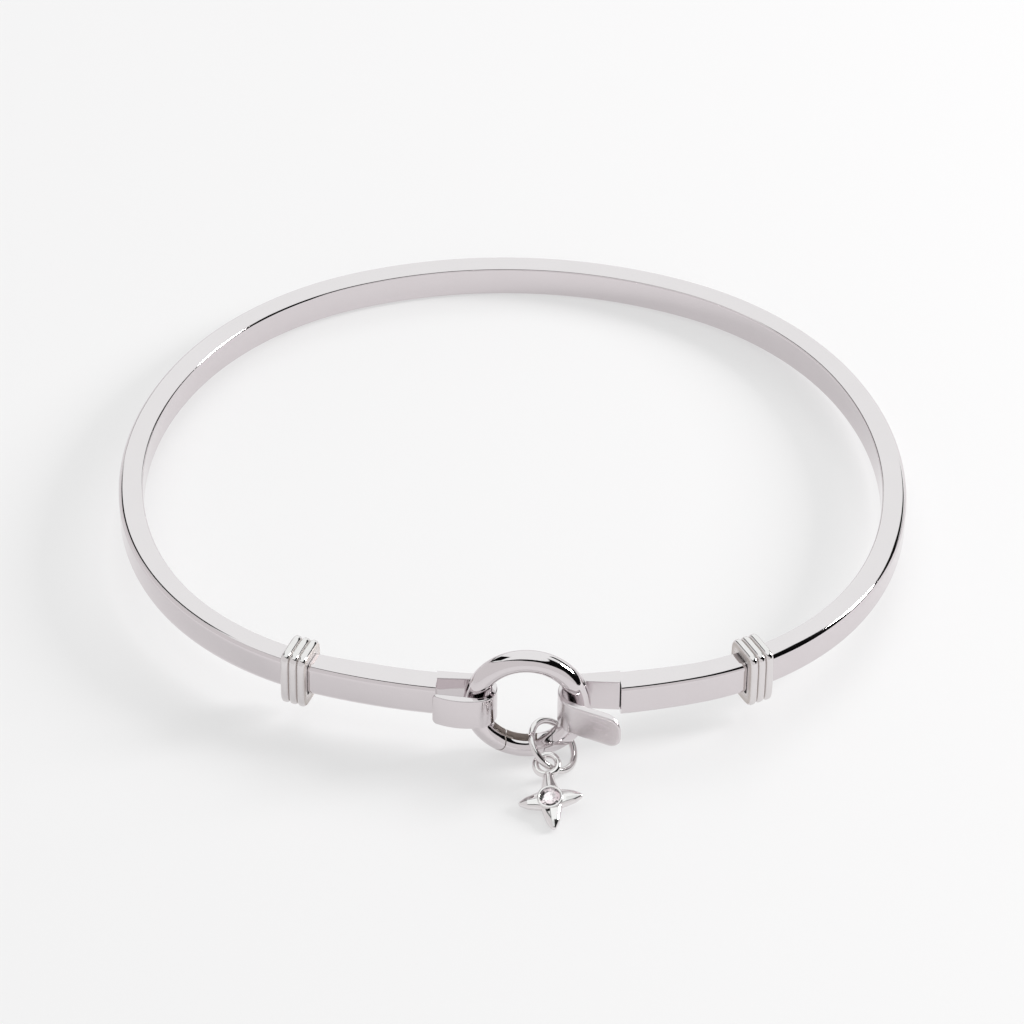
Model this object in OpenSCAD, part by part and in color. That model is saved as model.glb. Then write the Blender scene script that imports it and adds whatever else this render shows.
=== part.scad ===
// Tension bangle: a stiff oval band whose bent ends hold a gated clasp ring, with a star charm.
// Millimetres, +Z up. The bangle lies on the plane z = 0 as it rests by itself: on the back of
// the band and on the foot of the clasp ring, with the front edge a little raised.

/* [Band] */
// Outside width of the oval, from side to side
outer_w = 68; // [64:1:74]
// Thickness of the band, across the wall
band_t = 2.1; // [1.8:0.1:2.2]
// Height of the band, along the arm
band_h = 2.85; // [2.6:0.05:3.1]
// Radius of the band's long edges
edge_r = 0.28; // [0.15:0.01:0.4]
// Radius of the middle line across the back
back_r = 39.5; // [38:0.5:41]
// Radius of the middle line at the two back shoulders
shoulder_r = 28.5; // [27:0.5:30]
// Radius of the middle line at the two front corners
corner_r = 24.2; // [23:0.2:25]

/* [Ends of the band] */
// Thickness of the thinned strip that each end is bent from
strip_t = 0.98; // [0.9:0.02:1.1]
// Distance from the oval's axis to the left step
left_step = 5.6; // [5.4:0.1:6]
// Distance from the oval's axis to the right step
right_step = 9.5; // [9.3:0.1:10]
// Outer radius of the left loop's bend
loop_r = 1.77; // [1.75:0.01:1.8]
// Radius that the left loop's front wall bulges to
loop_bulge_r = 6; // [5.5:0.1:7]
// Outer radius of the right hook's bend
hook_r = 2.27; // [2.25:0.01:2.3]
// Angle that the hook's tab flares away from the band
tab_flare = 23.5; // [20:0.5:26]
// Length of the hook's tab
tab_len = 4.3; // [3.5:0.1:4.4]
// Radius of the rounded corners of the tab's tip
tab_tip_r = 1.2; // [0.8:0.05:1.4]

/* [Wire wraps] */
// Width of one turn
turn_w = 0.73; // [0.6:0.01:0.8]
// Number of turns in a wrap
turns = 3; // [2:1:4]
// How far a turn stands off the band
turn_proud = 0.88; // [0.7:0.02:1]
// Depth of the groove between two turns
groove = 0.22; // [0.1:0.02:0.3]
// Outer radius of a turn where it goes round the band's edge
turn_edge_r = 0.42; // [0.36:0.02:0.5]
// Angle from the front of the oval to the left wrap
left_wrap_a = 20; // [19:0.5:30]
// Angle from the front of the oval to the right wrap
right_wrap_a = 29.1; // [24:0.1:40]

/* [Clasp ring] */
// Radius of the ring's centre line
ring_r = 4.36; // [4.34:0.01:4.4]
// Radius of the ring's round wire
wire_r = 0.94; // [0.92:0.01:0.95]
// Distance of the ring's centre from the oval's axis
ring_x = 1.87; // [1.85:0.01:1.9]
// Angle that the ring's top leans in towards the wrist
ring_lean = 4.5; // [0:0.5:4.5]
// Angle from the foot of the ring to the gate's hinge, on the left
hinge_a = 37.5; // [35:0.5:40]
// Angle from the foot of the ring to the gate's free end, on the right
free_a = 20; // [10:0.5:24]
// Radius of the hinge pin
pin_r = 0.25; // [0.2:0.01:0.28]
// Width of the channel along the inside of the gate
channel_w = 1; // [0.9:0.02:1.1]

/* [Charm] */
// Radius of the jump ring's centre line
jump_r = 2.27; // [2.25:0.01:2.3]
// Radius of the jump ring's wire
jump_wire_r = 0.275; // [0.25:0.005:0.28]
// Reach of the star's two side points
side_point = 2.68; // [2.4:0.02:2.8]
// Reach of the star's lower point
low_point = 2.85; // [2.6:0.05:3]
// Width of a point where it leaves the middle
point_w = 1.86; // [1.6:0.02:2]
// Thickness of the star's middle
star_t = 1.3; // [1.1:0.05:1.4]
// Radius of the round end of a point
point_tip_r = 0.27; // [0.2:0.01:0.32]
// Radius of the ring that the star hangs by, to the middle of its wire
bail_r = 0.93; // [0.92:0.01:0.95]
// Radius of the bail's wire
bail_wire_r = 0.3; // [0.28:0.01:0.31]
// Radius of the round stone
stone_r = 0.86; // [0.8:0.01:0.9]

/* [Hidden] */
silver = [0.86, 0.85, 0.86];
clear_stone = [0.93, 0.93, 0.96];
eps = 0.01;
lap = 0.004;
lap_turn = 0.1;
arc_steps = 10;

// Plan of the band's middle line: five arcs on each side, given by the angle from the back.
// The side and front radii follow from the width and from the two halves meeting in front.
mid_w = outer_w / 2 - band_t / 2;
arc_a = [0, 22, 62, 100, 162.5, 180];
side_r = (mid_w - (back_r - shoulder_r) * sin(arc_a[1]) - shoulder_r * sin(arc_a[2])) / (1 - sin(arc_a[2]));
side_x = mid_w - side_r;
front_r = corner_r + (side_x + (side_r - corner_r) * sin(arc_a[3])) / sin(arc_a[4]);
arc_r = [back_r, shoulder_r, side_r, corner_r, front_r];
function toward(a) = [sin(a), cos(a)];
function arc_step(i) = (arc_r[i - 1] - arc_r[i]) * toward(arc_a[i]);
function arc_centre(i) = i == 0 ? [0, -arc_r[0]] : arc_centre(i - 1) + arc_step(i);
plan_depth = front_r - arc_centre(4)[1];
function placed_centre(i) = arc_centre(i) + [0, plan_depth / 2];
front_y = -plan_depth / 2;
front_centre_y = front_y + front_r;
inner_front_r = front_r - band_t / 2;
function inner_y(x) = front_centre_y - sqrt(inner_front_r * inner_front_r - x * x);
face_y = inner_y(left_step) - strip_t;
strip_over = 0.1;
strip_h = band_h + 2 * strip_over;
function strip_line(from, to) = [for (i = [0:4]) [from + (to - from) * i / 4, inner_y(from + (to - from) * i / 4) - lap]];

// Clasp ring: centre, and the clear width that its curve leaves for each bent end
ring_y = face_y - 1.16;
ring_z = band_h / 2;
bend_reach = 2.96;
slot_r = 1.14;
slot_c = [ring_x - bend_reach - slot_r, face_y - slot_r - 0.02];
loop_c = [slot_c[0] - 0.12, inner_y(slot_c[0]) - loop_r];
loop_bulge_c = [slot_c[0] - 0.93, loop_c[1] - loop_r + loop_bulge_r - 0.06];
loop_end_x = -left_step - 0.35;
loop_wall = 0.32;
hook_slot_r = 1.33;
hook_slot_c = [ring_x + bend_reach + hook_slot_r, face_y - hook_slot_r + 0.09];
hook_c = [hook_slot_c[0] + 0.5, hook_slot_c[1] + 0.05];
tab_from_a = 270 - tab_flare;
tab_t = hook_r - hook_slot_r + (hook_c - hook_slot_c) * [cos(tab_from_a), sin(tab_from_a)];

// Rest pose: the back edge and the foot of the ring touch the plane
foot_z = ring_z - ring_r * cos(ring_lean) - wire_r;
foot_y = ring_y - ring_r * sin(ring_lean);
heel_y = plan_depth / 2 + band_t / 2 - edge_r;
rest_tilt = atan(-foot_z / (heel_y - foot_y));
rest_lift = heel_y * sin(rest_tilt) - edge_r * cos(rest_tilt) + edge_r;

// Charm: the jump ring and the star lie in front, placed on the plane itself
jump_c = [4.09, -30.711, 1.762];
jump_turn = [0, 40.1, -13.9];
star_c = [4.038, -36.165, 0.963];
star_yaw = 6.95;
star_pitch = 12.3;
star_roll = 8.7;
bail_up = 3.41;
bezel_r = stone_r + 0.17;
bezel_top = 0.56;
seat_depth = 0.34;
girdle_h = 0.06;
crown_h = 0.24;
table_r = 0.5;

// The origin lies under the middle of the whole object
back_reach = heel_y + edge_r + 0.1;
front_reach = -star_c[1] + low_point * cos(star_pitch);
origin_y = (back_reach - front_reach) / 2;

module lying() {
    translate([0, -origin_y, 0]) children();
}

module resting() {
    lying() translate([0, 0, rest_lift]) rotate([-rest_tilt, 0, 0]) children();
}

// Corner of a rounded outline: points round a centre, from one angle to another
function corner(c, r, from, to, steps = 5) =
    [for (i = [0:steps]) c + r * [cos(from + (to - from) * i / steps), sin(from + (to - from) * i / steps)]];

function rounded(w, h, r) = concat(
    corner([w / 2 - r, h - r], r, 0, 90), corner([r - w / 2, h - r], r, 90, 180),
    corner([r - w / 2, r], r, 180, 270), corner([w / 2 - r, r], r, 270, 360));

// One arc of the band, on the right side (1) or the left (-1), between two angles from the back.
// Neighbouring arcs overlap by a hair and differ as little in section, so they join as one solid.
module band_arc(side, i, from, to) {
    c = placed_centre(i);
    fat = i % 2 == 1 ? lap : 0;
    translate([side * c[0], c[1], -fat / 2])
        rotate_extrude(start = side > 0 ? 90 - to : 90 + from, angle = to - from, $fn = 180)
            translate([arc_r[i], 0]) polygon(rounded(band_t + fat, band_h + fat, edge_r));
}

// One side of the band, from the back shoulder to the step at its end
module band_side(side, step_x) {
    for (i = [1:3]) band_arc(side, i, arc_a[i] - lap_turn, arc_a[i + 1] + lap_turn);
    band_arc(side, 4, arc_a[4] - lap_turn, 180 - asin(step_x / front_r));
}

// Left end: the strip is bent round the ring and closed down in front of the band
module loop_end() {
    outer_end = loop_bulge_c - [0, sqrt(pow(loop_bulge_r, 2) - pow(loop_end_x - loop_bulge_c[0], 2))];
    bulge_from = 270 - asin((loop_bulge_c[0] - loop_end_x) / loop_bulge_r);
    bulge_to = 270 + asin((loop_c[0] - loop_bulge_c[0]) / loop_bulge_r);
    root_x = -left_step - 0.1;
    translate([0, 0, -strip_over]) linear_extrude(strip_h) polygon(concat(
        strip_line(root_x, loop_c[0]),
        corner(loop_c, loop_r, 90, -90, 2 * arc_steps),
        corner(loop_bulge_c, loop_bulge_r, bulge_to, bulge_from, arc_steps),
        [[loop_end_x + 0.06, outer_end[1] + loop_wall]],
        corner(slot_c, slot_r, -90, 90, 2 * arc_steps),
        [[root_x, face_y]]));
}

// Right end: the strip is bent round the ring and leaves it as a flared tab
module hook_end() {
    root_x = right_step + 0.1;
    translate([0, 0, -strip_over]) linear_extrude(strip_h) polygon(concat(
        strip_line(root_x, hook_c[0]),
        corner(hook_c, hook_r, 94, tab_from_a, 2 * arc_steps),
        corner(hook_slot_c, hook_slot_r, tab_from_a, 90, 2 * arc_steps),
        [[root_x, face_y]]));
    translate([hook_slot_c[0], hook_slot_c[1], -strip_over]) rotate(-tab_flare)
        translate([-eps, -hook_slot_r, 0]) rotate([90, 0, 0]) linear_extrude(tab_t)
            polygon(concat([[0, 0]],
                corner([tab_len - tab_tip_r, tab_tip_r], tab_tip_r, -90, 0),
                corner([tab_len - tab_tip_r, strip_h - tab_tip_r], tab_tip_r, 0, 90),
                [[0, strip_h]]));
}

module band() {
    color(silver) resting() {
        band_arc(1, 0, -arc_a[1] - lap_turn, arc_a[1] + lap_turn);
        band_side(1, right_step);
        band_side(-1, left_step);
        loop_end();
        hook_end();
    }
}

// Profile of a wrap: rounded turns side by side, above the axis that an edge is turned about
function turn_h(s) = turn_edge_r - groove * pow(2 * abs(s - floor(s) - 0.5), 2);
turn_steps = 8;
wrap_points = concat([[0, 0]],
    [for (i = [0:turns * turn_steps])
        [turn_h(i == turns * turn_steps ? 0 : i / turn_steps), i * turn_w / turn_steps]],
    [[0, turns * turn_w]]);

// A wrap stands round the band like a sleeve: four straight sides, four rounded edges
module wrap(angle) {
    wrap_w = turns * turn_w;
    gap = 0.05;
    reach = [band_t / 2 + turn_proud - turn_edge_r, band_h / 2 + turn_proud - turn_edge_r];
    c = placed_centre(3);
    translate([c[0] + corner_r * sin(angle), c[1] - corner_r * cos(angle), band_h / 2])
        rotate([90, 0, 90 + angle]) translate([0, 0, -wrap_w / 2]) difference() {
            union() {
                translate([-reach[0], -reach[1], 0]) cube([2 * reach[0], 2 * reach[1], wrap_w]);
                for (k = [0:3]) rotate(90 * k) {
                    ahead = k % 2 == 0 ? reach[0] : reach[1];
                    beside = k % 2 == 0 ? reach[1] : reach[0];
                    translate([ahead, beside, 0])
                        rotate_extrude(start = 0, angle = 90, $fn = 48) polygon(wrap_points);
                    translate([ahead, beside, 0]) rotate([90, 0, 0])
                        linear_extrude(2 * beside) polygon(wrap_points);
                }
            }
            translate([0, 0, -1]) linear_extrude(wrap_w + 2)
                translate([0, -band_h / 2 - gap]) polygon(rounded(band_t + 2 * gap, band_h + 2 * gap, edge_r));
        }
}

module left_wrap() {
    color(silver) resting() mirror([1, 0, 0]) wrap(left_wrap_a);
}

module right_wrap() {
    color(silver) resting() wrap(right_wrap_a);
}

// Frame of the clasp ring: its axis points forward, angles run from the foot towards the hook
module ring_frame() {
    resting() translate([ring_x, ring_y, ring_z]) rotate([90 - ring_lean, 0, 0]) rotate(-90) children();
}

module ring_arc(from, to, r = wire_r) {
    rotate_extrude(start = from, angle = to - from, $fn = 120) translate([ring_r, 0]) circle(r, $fn = 48);
}

// A square-edged arc along the ring, between two radii
module square_arc(from, to, r1, r2, w) {
    rotate_extrude(start = from, angle = to - from, $fn = 120) translate([r1, -w / 2]) square([r2 - r1, w]);
}

module at_pin() {
    rotate(-hinge_a) translate([ring_r, 0, 0]) children();
}

// A round about the hinge pin, as wide as the ring
module pin_round(r, h = 3 * wire_r) {
    at_pin() cylinder(r = r, h = h, center = true, $fn = 60);
}

// The gate's reach from the pin: its outer half ends first, its inner half laps under the ring
play = 0.05;
lap_depth = 0.12;
lap_len = 0.6;
gate_reach = 2 * ring_r * sin((free_a + hinge_a) / 2);
module gate_space(extra) {
    pin_round(gate_reach + extra);
    intersection() {
        pin_round(gate_reach + lap_len + extra);
        cylinder(r = ring_r - lap_depth - play + extra, h = 3 * wire_r, center = true, $fn = 120);
    }
}

// The ring ends in a rounded knuckle, slotted for the gate's tang, and in a lip at the far side
channel_floor = 0.45;
slot_floor = 0.6;
knuckle_a = 14;
knuckle_gap = 0.08;
tang_r = 0.42;
tang_w = 0.84;
module clasp_ring() {
    color(silver) ring_frame() difference() {
        union() {
            difference() {
                ring_arc(free_a - 8, 360 - hinge_a);
                intersection() {
                    gate_space(play);
                    square_arc(free_a - 9, free_a + 25, ring_r - 2 * wire_r, ring_r + 2 * wire_r, 3 * wire_r);
                }
            }
            intersection() {
                ring_arc(-hinge_a - 1, 20 - hinge_a);
                pin_round(wire_r);
            }
        }
        square_arc(-hinge_a - knuckle_a, 20 - hinge_a, ring_r - 2 * wire_r, ring_r + slot_floor, channel_w);
        pin_round(pin_r + 0.01);
    }
}

// The gate is a channel open to the ring's middle, hung by a tang at its hollowed end
module gate() {
    color(silver) ring_frame() difference() {
        union() {
            difference() {
                intersection() {
                    ring_arc(-hinge_a, free_a + 20);
                    gate_space(0);
                }
                square_arc(-hinge_a - 5, free_a - 5,
                    ring_r - 2 * wire_r, ring_r + channel_floor, channel_w);
                pin_round(wire_r + knuckle_gap);
            }
            square_arc(-hinge_a, 22 - hinge_a, ring_r - 0.8 * tang_r, ring_r + channel_floor + 0.07, tang_w);
            pin_round(tang_r, tang_w);
        }
        pin_round(pin_r + 0.04);
    }
}

module gate_pin() {
    color(silver) ring_frame() at_pin() cylinder(r = pin_r, h = 1.8 * wire_r, center = true, $fn = 32);
}

module jump_ring() {
    color(silver) lying() translate(jump_c) rotate(jump_turn)
        rotate_extrude($fn = 96) translate([jump_r, 0]) circle(jump_wire_r, $fn = 32);
}

module star_frame() {
    lying() translate(star_c) rotate(star_yaw) rotate([star_pitch, 0, 0]) rotate([0, -star_roll, 0]) children();
}

// One point of the star: a ridged body that runs out to a round end
module point(reach, tip_r, root_w) {
    hull() {
        for (s = [-1, 1]) {
            translate([s * root_w / 2, 0, 0]) sphere(0.12, $fn = 12);
            translate([0, 0, s * (star_t / 2 - 0.12)]) sphere(0.12, $fn = 12);
        }
        translate([0, reach - tip_r, 0]) sphere(tip_r, $fn = 16);
    }
}

module star() {
    color(silver) star_frame() difference() {
        union() {
            point(bail_up - bail_r + 0.15, 0.28, point_w * 0.8);
            rotate(180) point(low_point, point_tip_r, point_w);
            rotate(90) point(side_point, point_tip_r, point_w);
            rotate(-90) point(side_point, point_tip_r, point_w);
            cylinder(r = bezel_r, h = bezel_top, $fn = 48);
            translate([0, bail_up, 0]) rotate_extrude($fn = 64) translate([bail_r, 0])
                circle(bail_wire_r, $fn = 32);
        }
        translate([0, 0, bezel_top - seat_depth]) cylinder(r = stone_r + 0.03, h = 1, $fn = 48);
    }
}

// A round stone with a flat table, eight crown facets and eight below the girdle
module stone() {
    pavilion_h = 0.2;
    color(clear_stone) star_frame() translate([0, 0, bezel_top - seat_depth + 0.02]) {
        cylinder(r1 = stone_r * 0.45, r2 = stone_r, h = pavilion_h, $fn = 8);
        translate([0, 0, pavilion_h]) cylinder(r = stone_r, h = girdle_h, $fn = 8);
        translate([0, 0, pavilion_h + girdle_h]) cylinder(r1 = stone_r, r2 = table_r, h = crown_h, $fn = 8);
    }
}

band();
left_wrap();
right_wrap();
clasp_ring();
gate();
gate_pin();
jump_ring();
star();
stone();
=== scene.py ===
import math

import bmesh
import bpy
import numpy as np
from mathutils import Matrix, Vector
from mathutils.bvhtree import BVHTree
from mathutils.interpolate import poly_3d_calc


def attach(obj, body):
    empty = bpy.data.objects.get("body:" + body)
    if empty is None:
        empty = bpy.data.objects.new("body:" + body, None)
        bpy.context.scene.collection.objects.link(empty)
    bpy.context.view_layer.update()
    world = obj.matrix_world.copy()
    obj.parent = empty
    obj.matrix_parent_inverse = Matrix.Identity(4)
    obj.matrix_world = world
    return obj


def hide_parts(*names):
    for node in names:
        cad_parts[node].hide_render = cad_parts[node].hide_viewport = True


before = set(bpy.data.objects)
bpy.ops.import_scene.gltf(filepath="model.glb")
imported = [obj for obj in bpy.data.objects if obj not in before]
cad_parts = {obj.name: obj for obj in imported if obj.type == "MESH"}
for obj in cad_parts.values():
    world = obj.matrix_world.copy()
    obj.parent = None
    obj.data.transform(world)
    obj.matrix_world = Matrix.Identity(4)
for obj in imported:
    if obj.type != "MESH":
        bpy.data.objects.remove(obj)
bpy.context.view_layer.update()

millimetre = 0.001

# Tension bangle in polished silver. Pieces are drawn in millimetres in the band's own frame:
# the middle of the oval at 0, 0, the underside of the band at z = 0, the clasp towards -Y.


# Shader maths: a Term wraps one number socket, and an expression on Terms adds its Math nodes
class Term:
    def __init__(self, tree, socket):
        self.tree = tree
        self.socket = socket

    def math(self, operation, *others):
        return mathTerm(self.tree, operation, self, *others)

    def __add__(self, other):
        return self.math("ADD", other)

    def __sub__(self, other):
        return self.math("SUBTRACT", other)

    def __rsub__(self, other):
        return mathTerm(self.tree, "SUBTRACT", other, self)

    def __mul__(self, other):
        return self.math("MULTIPLY", other)

    __radd__ = __add__
    __rmul__ = __mul__


def mathTerm(tree, operation, *values):
    return Term(tree, addNode(tree, "ShaderNodeMath", {"operation": operation}, dict(enumerate(values))).outputs[0])


def addNode(tree, kind, settings=None, values=None):
    made = tree.nodes.new(kind)
    for name, value in (settings or {}).items():
        setattr(made, name, value)
    for name, value in (values or {}).items():
        value = value.socket if isinstance(value, Term) else value
        if isinstance(value, bpy.types.NodeSocket):
            tree.links.new(value, made.inputs[name])
        else:
            made.inputs[name].default_value = value
    return made


def mixColour(tree, share, first, second):
    pair = [(*colour, 1) if isinstance(colour, tuple) else colour for colour in (first, second)]
    return addNode(tree, "ShaderNodeMix", {"data_type": "RGBA"}, {0: share, 6: pair[0], 7: pair[1]}).outputs[2]


def emptyTree(owner):
    owner.use_nodes = True
    owner.node_tree.nodes.clear()
    return owner.node_tree


def newMaterial(name):
    material = bpy.data.materials.new(name)
    return material, emptyTree(material)


def closeMaterial(tree, values):
    shader = addNode(tree, "ShaderNodeBsdfPrincipled", None, values)
    addNode(tree, "ShaderNodeOutputMaterial", None, {"Surface": shader.outputs[0]})


# Tree of Geometry Nodes with named inputs: a list of (name, type, value)
def newShapeTree(name, inputs):
    tree = bpy.data.node_groups.new(name, "GeometryNodeTree")
    tree.interface.new_socket(name="Geometry", in_out="INPUT", socket_type="NodeSocketGeometry")
    for label, kind, value in inputs:
        socket = tree.interface.new_socket(name=label, in_out="INPUT", socket_type="NodeSocket" + kind)
        if value is not None:
            socket.default_value = value
    tree.interface.new_socket(name="Geometry", in_out="OUTPUT", socket_type="NodeSocketGeometry")
    return tree, addNode(tree, "NodeGroupInput").outputs


def closeShapeTree(tree, given, geometry):
    real = addNode(tree, "GeometryNodeRealizeInstances", None, {"Geometry": geometry})
    dressed = addNode(tree, "GeometryNodeSetMaterial", None,
                      {"Geometry": real.outputs[0], "Material": given["Material"]})
    addNode(tree, "NodeGroupOutput", None, {"Geometry": dressed.outputs[0]})


def newObject(name, data):
    made = bpy.data.objects.new(name, data)
    bpy.context.scene.collection.objects.link(made)
    return made


# Runs a tree on an object's own data and gives back the result as a plain mesh
def runShapeTree(tree, data, values):
    source = newObject("source", data)
    modifier = source.modifiers.new("shape", "NODES")
    modifier.node_group = tree
    for item in tree.interface.items_tree:
        if item.in_out == "INPUT" and item.name in values:
            modifier[item.identifier] = values[item.name]
    bpy.context.view_layer.update()
    evaluated = source.evaluated_get(bpy.context.evaluated_depsgraph_get())
    mesh = bpy.data.meshes.new_from_object(evaluated)
    source.modifiers.clear()
    bpy.data.objects.remove(source)
    return mesh


def unit(vectors):
    return vectors / np.maximum(np.linalg.norm(vectors, axis=-1, keepdims=True), 1e-12)


def placed(points, normals, transform):
    matrix = np.array(transform)
    turned = unit(np.asarray(normals) @ matrix[:3, :3].T)
    return np.asarray(points) @ matrix[:3, :3].T + matrix[:3, 3], turned


def rotation(degrees, axisName):
    return Matrix.Rotation(math.radians(degrees), 4, axisName)


# Reads a mesh as arrays: points, faces, and for each face the normal of its plane
def readMesh(mesh):
    points = np.empty(len(mesh.vertices) * 3)
    mesh.vertices.foreach_get("co", points)
    faces = [list(p.vertices) for p in mesh.polygons]
    flat = np.empty(len(faces) * 3)
    mesh.polygons.foreach_get("normal", flat)
    return points.reshape(-1, 3), faces, flat.reshape(-1, 3)


# Moves the points of a mesh and gives every face corner its exact normal
def finishMesh(mesh, points, normals):
    mesh.vertices.foreach_set("co", points.ravel())
    mesh.polygons.foreach_set("use_smooth", [True] * len(mesh.polygons))
    mesh.update()
    mesh.normals_split_custom_set(normals.tolist())


# Painted shade: how much each point or face of a recess is darkened and browned
def setRecessShade(mesh, domain, values):
    mesh.attributes.new("recessShade", "FLOAT", domain).data.foreach_set("value", values)


# Gives a plain mesh the exact normals of a rule: a face takes them where they agree with its plane.
# The other faces stay flat, and are recesses where painted shade is given for them.
def polish(mesh, rule, transform, agree=0.96, reshape=None, recess=0.0):
    points, faces, flat = readMesh(mesh)
    exact, fits = rule(points)
    corners, paintedShade = [], []
    for face, plane in zip(faces, flat):
        own = exact[face]
        good = fits[face].all() and (own @ plane).min() > agree
        corners.append(own if good else np.tile(plane, (len(face), 1)))
        paintedShade.append(0.0 if good else recess)
    if recess:
        setRecessShade(mesh, "FACE", paintedShade)
    points = points if reshape is None else reshape(points)
    finishMesh(mesh, *placed(points, np.concatenate(corners), transform))
    return mesh


# Closed shells gathered into one mesh, with the exact normal of every face corner
class Shells:
    def __init__(self):
        self.points = []
        self.faces = []
        self.normals = []
        self.recessShade = []
        self.count = 0

    def add(self, points, faces, normals, recessShade=None):
        points = np.asarray(points, dtype=float)
        volume = 0.0
        for face in faces:
            for k in range(1, len(face) - 1):
                volume += np.dot(points[face[0]], np.cross(points[face[k]], points[face[k + 1]]))
        turn = -1 if volume < 0 else 1
        self.points.append(points)
        self.faces += [[self.count + v for v in face[::turn]] for face in faces]
        self.normals += [np.asarray(n)[::turn] for n in normals]
        self.recessShade.append(np.zeros(len(points)) if recessShade is None else np.ravel(recessShade))
        self.count += len(points)

    # A tube from positions[station, step]: it runs round on itself, or is capped at its two ends
    def loft(self, positions, normals, closed=True, recessShade=None):
        stations, steps = positions.shape[:2]
        rows = np.arange(stations if closed else stations - 1)[:, None]
        columns = np.arange(steps)[None, :]
        after, beside = (rows + 1) % stations, (columns + 1) % steps
        faces = np.stack([rows * steps + columns, after * steps + columns, after * steps + beside,
                          rows * steps + beside], axis=-1).reshape(-1, 4).tolist()
        if not closed:
            for first, sign in ((0, 1), ((stations - 1) * steps, -1)):
                last = first + steps - 1
                faces += [[first + k, first + k + 1, last - k - 1, last - k][::sign] for k in range(steps // 2 - 1)]
        flatNormals = normals.reshape(-1, 3)
        self.add(positions.reshape(-1, 3), faces, [flatNormals[face] for face in faces], recessShade)

    def mesh(self, name, material, transform=Matrix.Identity(4)):
        points, normals = placed(np.concatenate(self.points), np.concatenate(self.normals), transform)
        mesh = bpy.data.meshes.new(name)
        mesh.from_pydata(points.tolist(), [], self.faces)
        mesh.materials.append(material)
        setRecessShade(mesh, "POINT", np.concatenate(self.recessShade))
        finishMesh(mesh, points, normals)
        return mesh

    def make(self, name, material, transform):
        return newObject(name, self.mesh(name, material, transform))


# Silver: bright where it is rubbed, and browner, duller and darker in recesses, where shade is painted in
silver = {
    "bright": (0.725, 0.68, 0.695),
    "warm": (0.70, 0.655, 0.67),
    # colour, roughness and dulling of the painted shade in recesses
    "recessShade": (0.36, 0.27, 0.19),
    "roughness": 0.055,
    "roughnessChange": 0.03,
    "recessShadeRoughness": 1.1,
    "recessShadeDulling": 1.8,
    "mostDull": 0.85,
    "cloudScale": 320.0,
    "scratchScale": 900.0,
    "scratchDirection": (1.0, 1.0, 2.5),
    "scratchStrength": 0.12,
    "scratchDepth": 0.00002,
}


def silverMaterial(name, **changes):
    look = {**silver, **changes}
    material, tree = newMaterial(name)
    where = addNode(tree, "ShaderNodeTexCoord").outputs["Object"]
    near = addNode(tree, "ShaderNodeMapping", None, {"Vector": where, "Scale": look["scratchDirection"]})
    clouds = addNode(tree, "ShaderNodeTexNoise", None, {"Vector": where, "Scale": look["cloudScale"], "Detail": 3.0})
    scratches = addNode(tree, "ShaderNodeTexNoise", None,
                        {"Vector": near.outputs[0], "Scale": look["scratchScale"], "Detail": 4.0, "Roughness": 0.65})
    cloud = Term(tree, clouds.outputs[0])
    # the recess amount says where shade is painted into the silver
    recess = Term(tree, addNode(tree, "ShaderNodeAttribute", {"attribute_name": "recessShade"}).outputs["Fac"])
    shade = mixColour(tree, cloud, look["bright"], look["warm"])
    bump = addNode(tree, "ShaderNodeBump", None, {"Strength": look["scratchStrength"], "Distance": look["scratchDepth"],
                                                  "Height": scratches.outputs[0]})
    closeMaterial(tree, {
        "Base Color": mixColour(tree, recess.math("MINIMUM", 1.0), shade, look["recessShade"]),
        "Metallic": 1 - (recess * look["recessShadeDulling"]).math("MINIMUM", look["mostDull"]),
        "Roughness": look["roughness"] + (cloud - 0.5) * look["roughnessChange"] + recess * look["recessShadeRoughness"],
        "Normal": bump.outputs[0]})
    return material


# A texture mixes two colours, and the other values are plain
def patternMaterial(name, texture, pattern, first, second, values):
    material, tree = newMaterial(name)
    where = addNode(tree, "ShaderNodeTexCoord").outputs["Object"]
    share = addNode(tree, texture, None, {"Vector": where, **pattern}).outputs[0]
    closeMaterial(tree, {"Base Color": mixColour(tree, share, first, second), **values})
    return material


polished = silverMaterial("polished_silver")
wireSilver = silverMaterial("drawn_silver_wire", bright=(0.76, 0.73, 0.735), warm=(0.74, 0.71, 0.71),
                            roughness=0.06, scratchStrength=0.15)
brushed = silverMaterial("brushed_silver", roughness=0.24)
castSilver = silverMaterial("cast_silver", bright=(0.82, 0.79, 0.795), warm=(0.8, 0.77, 0.77),
                            roughness=0.13, scratchStrength=0.2, scratchScale=600.0)
clearStone = patternMaterial("clear_stone", "ShaderNodeTexNoise", {"Scale": 900.0, "Detail": 2.0},
                             (1.0, 0.985, 0.99), (0.97, 0.93, 0.95),
                             {"Roughness": 0.0, "IOR": 1.55, "Transmission Weight": 1.0})
# The back of the stone is foiled, so its facets send the light back
foiledBack = patternMaterial("foiled_back", "ShaderNodeTexVoronoi", {"Scale": 2600.0},
                             (1.0, 0.98, 0.985), (0.95, 0.86, 0.89), {"Metallic": 1.0, "Roughness": 0.08})
print("materials: silver in four finishes, a clear stone and its foil")


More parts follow.
